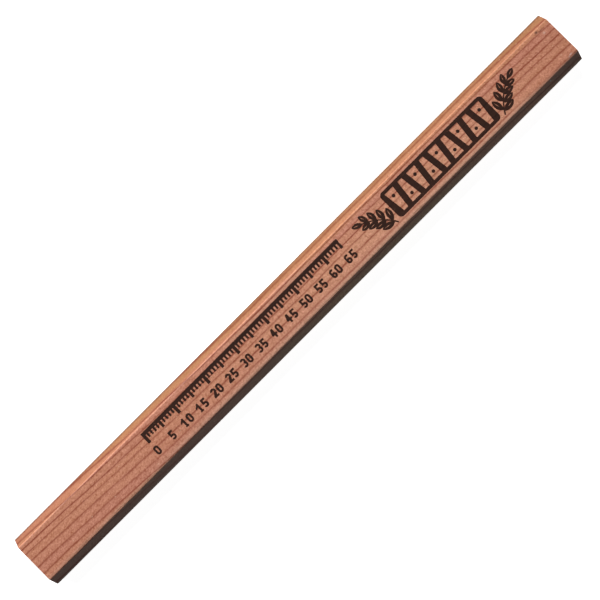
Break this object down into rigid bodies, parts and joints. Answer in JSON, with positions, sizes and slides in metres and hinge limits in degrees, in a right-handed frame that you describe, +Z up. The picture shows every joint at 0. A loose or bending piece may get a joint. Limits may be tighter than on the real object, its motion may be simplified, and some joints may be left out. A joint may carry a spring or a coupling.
{
  "type": "carpenter pencil",
  "caption": "Flat unsharpened carpenter pencil: two glued cedar slats around a flat graphite core, with a printed millimetre scale and joinery ornament on one broad face.",
  "frame": {"origin": "middle of the lower broad face, the face without the imprint, which the pencil lies on", "axes": "+X along the pencil, the way its imprint reads; +Y across the broad face towards the top edge of the imprint; +Z up out of the imprinted broad face"},
  "size_m": [0.1778, 0.0148, 0.0076],
  "materials": {
    "cedar": "satin",
    "graphite": "satin",
    "glue": "matte",
    "ink": "satin"
  },
  "bodies": {
    "root": {"upper_slat": "cedar", "lower_slat": "cedar", "lead_core": "graphite", "glue_line": "glue", "printed_scale": "ink", "printed_panel": "ink", "printed_sprigs": "ink"}
  },
  "joints": []
}
